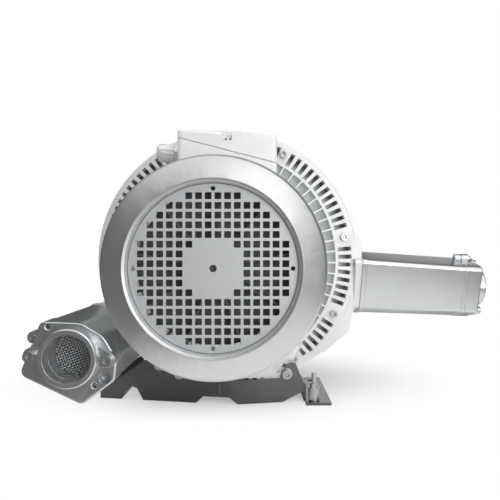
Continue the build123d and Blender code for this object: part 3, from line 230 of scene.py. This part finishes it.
def stainless_wire():
    """Drawn stainless wire of the woven screens, bright along its length."""
    material, tree, shader, place = surface("stainless_wire", {"Base Color": rgb("#D4D5D6"), "Metallic": 0.9})
    wander(tree, shader, place, 2, 0.24, 0.38)
    return material


def absorber_foam():
    """Charcoal open-cell foam inside the silencers: cells of 1.4 mm, with painted shade darkening their
    sunken middles.
    """
    material, tree, shader, place = surface("absorber_foam", {"Roughness": 0.95})
    cells = add(tree, "TexVoronoi", {"Vector": place, "Scale": 1 / (1.4 * MM)}).outputs["Distance"]
    # painted shade: the colour darkens towards each cell's middle, where the bump sinks deepest
    mix = add(tree, "Mix", {"Factor": cells, MIX_A: rgb("#161617"), MIX_B: rgb("#39393A")},
              data_type="RGBA")
    bump = add(tree, "Bump", {"Height": cells, "Distance": 0.6 * MM})
    plug(tree, shader, {"Base Color": mix.outputs[MIX_RESULT], "Normal": bump.outputs["Normal"]})
    return material


def nickel_brass():
    """Nickel-plated brass of the cable gland: pale and smooth, with a soft shine."""
    material, tree, shader, place = surface("nickel_brass", {"Base Color": rgb("#E8E8E6"), "Metallic": 0.4})
    wander(tree, shader, place, 8, 0.24, 0.36)
    return material


def black_rubber():
    """Moulded seal rubber, matt with a faint bloom."""
    material, tree, shader, place = surface("black_rubber", {"Roughness": 0.75})
    mottle(tree, shader, place, 11, "#1C1C1D", "#2E2E2F")
    return material


def zinc_steel():
    """Zinc-plated screws, nuts and washers: bright, with duller patches in the plating."""
    material, tree, shader, place = surface("zinc_steel", {"Base Color": rgb("#C3C4C4"), "Metallic": 0.9})
    wander(tree, shader, place, 4.5, 0.22, 0.4)
    return material


def grey_rubber():
    """Light grey sealing strip under the terminal box's lid, matt all over."""
    material, tree, shader, place = surface("grey_rubber", {"Roughness": 0.7})
    mottle(tree, shader, place, 8, "#949596", "#A6A7A8")
    return material


def turned_steel():
    """Turned and ground steel, with rings left by the tool along the shaft.

    A tool's rings are a few tenths of a millimetre wide, and are drawn at 1.1 so that they show.
    """
    material, tree, shader, place = surface("turned_steel", {"Base Color": rgb("#B9BABB"), "Metallic": 1.0})
    rings = add(tree, "Mapping", {"Vector": place, "Scale": (0.02, 1, 0.02)})
    wander(tree, shader, rings.outputs["Vector"], 1.1, 0.2, 0.36, detail=1.0)
    return material


def lamination_steel():
    """A stack of varnished electrical-steel sheets, each edge just visible.

    Real sheets are half a millimetre thick, and are drawn at 1 so that they show.  The wave
    repeats every pi / 10 of its scaled units.
    """
    material, tree, shader, place = surface(
        "lamination_steel", {"Base Color": rgb("#6C6E70"), "Metallic": 0.8, "Roughness": 0.5})
    sheets = add(tree, "TexWave", {"Vector": place, "Scale": math.pi / 10 / MM}, bands_direction="Y")
    bump = add(tree, "Bump", {"Height": sheets.outputs["Fac"], "Distance": 0.1 * MM})
    plug(tree, shader, {"Normal": bump.outputs["Normal"]})
    return material


def copper_winding():
    """Varnished copper wire of some 2 mm, bundled round the core's ends, with painted shade: darker in the
    hollows between the wires, lighter on their crowns.
    """
    material, tree, shader, place = surface(
        "copper_winding", {"Metallic": 0.7, "Roughness": 0.35, "Coat Weight": 0.5})
    wires = add(tree, "Mapping", {"Vector": place, "Scale": (1, 0.15, 1)}).outputs["Vector"]
    # painted shade: this noise is the same as the bumps' below, so the colour is darkest in the hollows and
    # lightest on the crowns
    mottle(tree, shader, wires, 2.4, "#7C3F20", "#C27A4A", detail=2.0)
    grain(tree, shader, wires, 2.4, 0.5, detail=2.0)
    return material


def dark_plastic():
    """Glass-filled plastic of the cooling fan and the terminal block: matt, speckled by its fibres."""
    material, tree, shader, place = surface("dark_plastic", {"Roughness": 0.5})
    mottle(tree, shader, place, 1.4, "#66686A", "#77797B")
    return material


def pale_casting():
    """Terminal box casting in light silver paint: satin, nearly white, with a soft grain."""
    material, tree, shader, place = surface("pale_casting", {"Metallic": 0.15, "Roughness": 0.45})
    mottle(tree, shader, place, 50, "#E2E3E3", "#ECEDED")
    grain(tree, shader, place, 1.25, 0.03)
    return material


FINISHES = {make.__name__: make() for make in (
    cast_aluminium, silver_paint, silver_sheet, punched_sheet, cast_housing, grey_steel, stainless_wire,
    absorber_foam, nickel_brass, black_rubber, grey_rubber, zinc_steel, turned_steel, lamination_steel,
    copper_winding, dark_plastic, pale_casting)}


# ---------------------------------------------------------------- piece helpers

def shown(name, mesh, finish, body, *nodes):
    """Puts a finished mesh in the scene, on its body and in place of its CAD nodes."""
    mesh.materials.append(FINISHES[finish])
    piece = bpy.data.objects.new(name, mesh)
    bpy.context.scene.collection.objects.link(piece)
    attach(piece, body)
    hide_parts(*nodes)
    return piece


def merged(node):
    """A copy of a CAD node, with its triangles joined into whole faces."""
    bm = bmesh.new()
    bm.from_mesh(frame["nodes"][node].data)
    bmesh.ops.remove_doubles(bm, verts=bm.verts, dist=WELD)
    seams = [e for e in bm.edges if len(e.link_faces) == 2 and e.calc_face_angle(1) < FLAT]
    bmesh.ops.dissolve_edges(bm, edges=seams, use_verts=False)
    return bm


def dressed(node, finish, radius):
    """A copy of a CAD node with its sharp edges rounded by a radius in millimetres."""
    bm = merged(node)
    mesh = bpy.data.meshes.new(node + "_finished")
    bm.to_mesh(mesh)
    bm.free()
    mesh.shade_smooth()
    mesh.set_sharp_from_angle(angle=SHARP)
    piece = shown(node + "_finished", mesh, finish, frame["nodes"][node]["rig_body"], node)
    if radius:
        rounding = piece.modifiers.new("edges", "BEVEL")
        rounding.width = radius * MM
        rounding.segments = ROUNDING_SEGMENTS
        rounding.limit_method = "ANGLE"
        rounding.angle_limit = SHARP
        rounding.use_clamp_overlap = False
        rounding.harden_normals = True


def kept(node, finish):
    """A CAD node that is shown as it is, in its finish."""
    piece = frame["nodes"][node]
    piece.data.materials.clear()
    piece.data.materials.append(FINISHES[finish])


def woven_wire(bm, place, length, phase):
    """A wire along place's Z axis, waving over and under the wires that cross it."""
    first = len(bm.verts)
    rod = bmesh.ops.create_cone(bm, cap_ends=True, segments=SCREEN_SIDES, radius1=SCREEN_WIRE,
                                radius2=SCREEN_WIRE, depth=length)
    top = [corner for corner in rod["verts"] if corner.co.z > 0]
    lengthwise = [max(corner.link_edges, key=bmesh.types.BMEdge.calc_length) for corner in top]
    bmesh.ops.subdivide_edges(bm, edges=lengthwise, cuts=int(length / SCREEN_STEP) - 1)
    bm.verts.ensure_lookup_table()
    wire = bm.verts[first:]
    for corner in wire:
        corner.co.x += SCREEN_WIRE * math.cos(math.pi * (corner.co.z / SCREEN_PITCH + phase))
    bmesh.ops.transform(bm, matrix=place, verts=wire)


def woven_screen(side):
    """Wires woven over and under each other, in a disc, where the port's screen sits."""
    node = side + "_mesh_screen"
    low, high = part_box(node)
    mount = next(m for m in frame["record"]["mounts"] if m["name"] == side + "_port")
    outward = Vector(mount["axis"]).normalized()
    centre = (Vector(low) + Vector(high)) / 2 + outward * SCREEN_WIRE / 2
    level = outward.cross(Vector((0, 0, 1))).normalized()
    upright = level.cross(outward)
    turned = Matrix.Rotation(SCREEN_TURN, 3, outward)
    warp, weft = turned @ level, turned @ upright
    count = int(SCREEN_RADIUS / SCREEN_PITCH)
    bm = bmesh.new()
    for shift, along, across in ((0, warp, weft), (1, weft, warp)):
        for row in range(-count, count + 1):
            reach = math.sqrt(SCREEN_RADIUS ** 2 - (row * SCREEN_PITCH) ** 2)
            place = Matrix((outward, across, along)).transposed().to_4x4()
            place.translation = centre + across * row * SCREEN_PITCH
            woven_wire(bm, place, 2 * reach, row + shift)
    bmesh.ops.recalc_face_normals(bm, faces=bm.faces)
    mesh = bpy.data.meshes.new(side + "_woven_screen")
    bm.to_mesh(mesh)
    bm.free()
    mesh.shade_smooth()
    shown(side + "_woven_screen", mesh, "stainless_wire", "root", node)


# ---------------------------------------------------------------- the pieces

# finish, and the radius of the rounded edges in millimetres
DRESSED = {
    "fan_cowl": ("silver_sheet", 0.5),
    "cowl_grille": ("punched_sheet", 0.25),
    "motor_side_casing": ("cast_aluminium", 0.25),
    "middle_casing": ("cast_aluminium", 0.5),
    "rear_cover": ("cast_aluminium", 0.5),
    "motor_frame": ("silver_paint", 0.4),
    "terminal_box_base": ("pale_casting", 0.6),
    "terminal_box_lid": ("pale_casting", 0.8),
    "left_silencer_housing": ("cast_housing", 0.6),
    "right_silencer_housing": ("cast_housing", 0.6),
    "left_silencer_cover": ("cast_housing", 0.3),
    "right_silencer_cover": ("cast_housing", 0.3),
    "left_port_flange": ("cast_housing", 0.5),
    "right_port_flange": ("cast_housing", 0.5),
    "base_bracket": ("grey_steel", 0.5),
    "cooling_fan": ("dark_plastic", 0.3),
    "gland_body": ("nickel_brass", 0.4),
    "gland_cap": ("nickel_brass", 0.4),
    "gland_lock_nut": ("nickel_brass", 0.3),
    "base_bolts": ("zinc_steel", 0.4),
    "casing_bolts": ("zinc_steel", 0.4),
    "casing_nuts": ("zinc_steel", 0.3),
    "levelling_nuts": ("zinc_steel", 0.3),
    "levelling_studs": ("zinc_steel", 0.3),
    "cowl_screws": ("zinc_steel", 0.3),
    "lid_screws": ("zinc_steel", 0.3),
    "left_cover_screws": ("zinc_steel", 0.3),
    "right_cover_screws": ("zinc_steel", 0.3),
    "left_port_bolts": ("zinc_steel", 0.3),
    "right_port_bolts": ("zinc_steel", 0.3),
    "fan_end_shield": ("cast_aluminium", 0.4),
    "drive_end_shield": ("cast_aluminium", 0.4),
    "impeller_stage_1": ("cast_aluminium", 0.0),
    "impeller_stage_2": ("cast_aluminium", 0.0),
    "motor_shaft": ("turned_steel", 0.4),
}

KEPT = {
    "bearing_balls": "turned_steel",
    "bearing_inner_rings": "turned_steel",
    "bearing_outer_rings": "turned_steel",
    "casing_seals": "black_rubber",
    "fan_clip": "zinc_steel",
    "gland_seal": "black_rubber",
    "impeller_key": "turned_steel",
    "impeller_nut": "zinc_steel",
    "impeller_spacer": "turned_steel",
    "impeller_washer": "zinc_steel",
    "left_absorber": "absorber_foam",
    "lid_gasket": "grey_rubber",
    "motor_bolts": "zinc_steel",
    "right_absorber": "absorber_foam",
    "rotor_core": "lamination_steel",
    "shaft_seal": "black_rubber",
    "shaft_sleeve": "turned_steel",
    "silencer_mount_screws": "zinc_steel",
    "stage_seal": "black_rubber",
    "stator_core": "lamination_steel",
    "stator_windings": "copper_winding",
    "terminal_block": "dark_plastic",
    "terminal_studs": "nickel_brass",
}

for node, (finish, radius) in DRESSED.items():
    dressed(node, finish, radius)
for node, finish in KEPT.items():
    kept(node, finish)
for side in ("left", "right"):
    woven_screen(side)


# ---------------------------------------------------------------- floor, light and camera

def floor_white():
    """White floor: it takes the object's shadow, and fades to the white of the background.

    The camera sees plain white outside the shadow.  Reflections see white where the floor glows.
    """
    material = bpy.data.materials.new("floor_white")
    material.use_nodes = True
    tree = material.node_tree
    tree.nodes.clear()
    rays = add(tree, "LightPath").outputs
    place = add(tree, "TexCoord").outputs["Object"]
    shadow_x, shadow_y = SHADOW_CENTRE
    glow_x, glow_y = GLOW_CENTRE
    oval = add(tree, "Mapping", {"Vector": place, "Scale": (SHADOW_SPREAD, 1, 1),
                                 "Location": (-shadow_x * SHADOW_SPREAD, -shadow_y, 0)})
    aside = add(tree, "Mapping", {"Vector": place, "Location": (-glow_x, -glow_y, 0)})
    # each ramp: where it is measured from, its start and end, and its values there
    ramps = {"fade": (oval.outputs["Vector"], SHADOW_CORE, SHADOW_REACH, SHADOW_LIFT, 1.0),
             "glow": (place, *GLOW_START, 0.0, 1.0),
             "loss": (aside.outputs["Vector"], *GLOW_END, 0.0, 1.0 - GLOW_DIM)}
    steps = {}
    for name, (vector, start, end, low, high) in ramps.items():
        away = add(tree, "VectorMath", {0: vector}, operation="LENGTH").outputs["Value"]
        ramp = add(tree, "MapRange", {"Value": away, "From Min": start, "From Max": end, "To Min": low,
                                      "To Max": high}, interpolation_type="SMOOTHSTEP")
        steps[name] = ramp.outputs["Result"]
    direct = add(tree, "Math", {0: rays["Is Camera Ray"], 1: steps["fade"]}, operation="MULTIPLY")
    mirrored = add(tree, "Math", {0: rays["Is Glossy Ray"], 1: steps["glow"]}, operation="MULTIPLY")
    dimmed = add(tree, "Math", {0: rays["Is Glossy Ray"], 1: steps["loss"]}, operation="MULTIPLY")
    share = add(tree, "Math", {0: direct.outputs[0], 1: mirrored.outputs[0]}, operation="ADD")
    strength = add(tree, "Math", {0: 1.0, 1: dimmed.outputs[0]}, operation="SUBTRACT")
    matt = add(tree, "BsdfDiffuse", {"Color": rgb("#FAFAFA")})
    white = add(tree, "Emission", {"Color": rgb("#FFFFFF"), "Strength": strength.outputs[0]})
    both = add(tree, "MixShader", {"Fac": share.outputs[0], 1: matt.outputs[0], 2: white.outputs[0]})
    add(tree, "OutputMaterial", {"Surface": both.outputs[0]})
    return material


def make_floor():
    bm = bmesh.new()
    bmesh.ops.create_grid(bm, x_segments=1, y_segments=1, size=FLOOR_HALF)
    mesh = bpy.data.meshes.new("floor")
    bm.to_mesh(mesh)
    bm.free()
    mesh.materials.append(floor_white())
    floor = bpy.data.objects.new("floor", mesh)
    bpy.context.scene.collection.objects.link(floor)


def make_world():
    """White behind the object, dark walls in reflections, and a low even light on matt surfaces."""
    world = bpy.data.worlds.new("studio")
    world.use_nodes = True
    tree = world.node_tree
    tree.nodes.clear()
    rays = add(tree, "LightPath").outputs
    straight = add(tree, "Math", {0: rays["Is Camera Ray"], 1: rays["Is Transmission Ray"]},
                   operation="MAXIMUM")
    fill = add(tree, "Background", {"Color": rgb("#FFFFFF"), "Strength": FILL_STRENGTH})
    walls = add(tree, "Background", {"Color": rgb(DARK_WALLS)})
    white = add(tree, "Background", {"Color": rgb("#FFFFFF")})
    soft = add(tree, "MixShader", {"Fac": rays["Is Glossy Ray"], 1: fill.outputs[0], 2: walls.outputs[0]})
    both = add(tree, "MixShader", {"Fac": straight.outputs[0], 1: soft.outputs[0], 2: white.outputs[0]})
    add(tree, "OutputWorld", {"Surface": both.outputs[0]})
    bpy.context.scene.world = world


def make_lamp(name, place, target, size, watts):
    """A rectangular softbox that looks at a target."""
    light = bpy.data.lights.new(name, "AREA")
    light.shape = "RECTANGLE"
    light.size, light.size_y = size
    light.energy = watts
    holder = bpy.data.objects.new(name, light)
    holder.location = place
    holder.rotation_euler = (Vector(target) - Vector(place)).to_track_quat("-Z", "Y").to_euler()
    bpy.context.scene.collection.objects.link(holder)


def make_camera():
    """A camera that looks level along the shaft, with its picture shifted to the object."""
    lens = bpy.data.cameras.new("camera")
    lens.lens = CAMERA_LENS
    lens.shift_x, lens.shift_y = CAMERA_SHIFT
    lens.clip_start = CAMERA_NEAR
    camera = bpy.data.objects.new("camera", lens)
    camera.location = CAMERA_PLACE
    camera.rotation_euler = (math.pi / 2, 0, 0)
    bpy.context.scene.collection.objects.link(camera)
    bpy.context.scene.camera = camera


make_floor()
make_world()
for name, (place, target, size, watts) in LAMPS.items():
    make_lamp(name, place, target, size, watts)
make_camera()

bpy.context.scene.view_settings.view_transform = "Standard"
